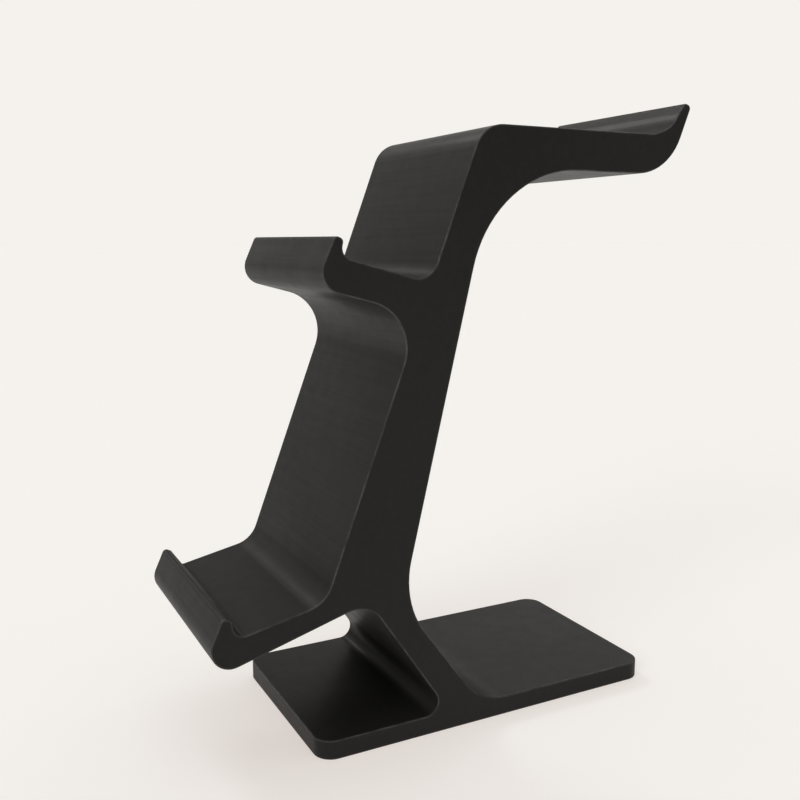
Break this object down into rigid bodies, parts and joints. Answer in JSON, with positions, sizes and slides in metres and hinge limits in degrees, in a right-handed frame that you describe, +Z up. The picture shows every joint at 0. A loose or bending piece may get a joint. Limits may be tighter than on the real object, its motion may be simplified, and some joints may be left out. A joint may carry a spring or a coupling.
{
  "type": "controller and headset stand",
  "caption": "Desk stand moulded as a single profile: flat base plate, leaning column, front hooks that cradle hand controllers, and a rear arm with a turned-up lip for a headset.",
  "frame": {"origin": "centre of the base plate's underside, on the surface it stands on", "axes": "+X across the stand's width, to the right seen from its front; -Y towards the front, where the hooks point; +Z up"},
  "size_m": [0.0714, 0.1752, 0.2089],
  "materials": {
    "black_plastic": "fine matte moulded texture, charcoal black, edges lightly broken"
  },
  "bodies": {
    "root": {"stand_body": "black_plastic"}
  },
  "joints": []
}
